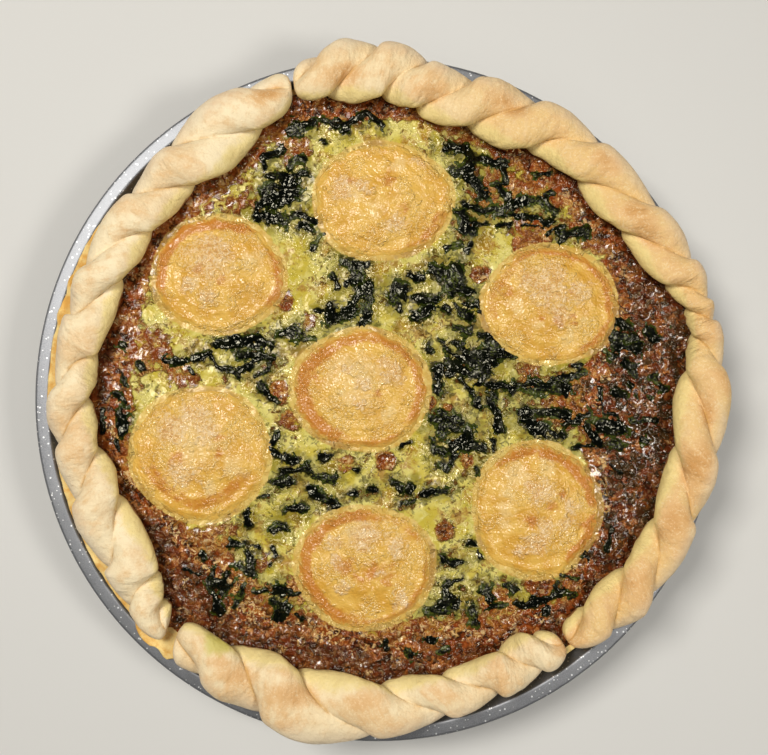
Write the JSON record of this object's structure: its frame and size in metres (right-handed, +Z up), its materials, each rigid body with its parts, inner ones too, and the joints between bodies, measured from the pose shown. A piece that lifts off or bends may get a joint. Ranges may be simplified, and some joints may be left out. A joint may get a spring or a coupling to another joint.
{
  "type": "goat cheese and spinach tart",
  "caption": "Round savoury tart in its sloped tin: set custard with wilted spinach and goat cheese rounds inside a twisted rope crust.",
  "frame": {"origin": "centre of the tin's flat underside, on the tin's axis", "axes": "+Z up through the tart, +X to the right and +Y to the top of the picture, which looks straight down"},
  "size_m": [0.3018, 0.305, 0.0557],
  "materials": {
    "tin": "grey speckled non-stick coating, satin",
    "case_pastry": "golden brown baked pastry, dry and matte",
    "custard": "yellow-green baked custard, browned and glistening at the edge",
    "rope_pastry": "pale golden baked pastry, matte with toasted patches",
    "goat_cheese": "cream cheese browned golden on top, slightly glossy",
    "spinach": "wilted dark green leaf, wet and crinkled"
  },
  "bodies": {
    "root": {"pie_dish": "tin", "pastry_case": "case_pastry", "filling": "custard", "crust_rope_right": "rope_pastry", "crust_rope_left": "rope_pastry", "crust_rope_bottom": "rope_pastry", "goat_cheese_1": "goat_cheese", "goat_cheese_2": "goat_cheese", "goat_cheese_3": "goat_cheese", "goat_cheese_4": "goat_cheese", "goat_cheese_5": "goat_cheese", "goat_cheese_6": "goat_cheese", "goat_cheese_7": "goat_cheese", "spinach_1": "spinach", "spinach_2": "spinach", "spinach_3": "spinach", "spinach_4": "spinach", "spinach_5": "spinach", "spinach_6": "spinach", "spinach_7": "spinach", "spinach_8": "spinach", "spinach_9": "spinach", "spinach_10": "spinach", "spinach_11": "spinach", "spinach_12": "spinach", "spinach_13": "spinach", "spinach_14": "spinach", "spinach_15": "spinach", "spinach_16": "spinach", "spinach_17": "spinach"}
  },
  "joints": []
}
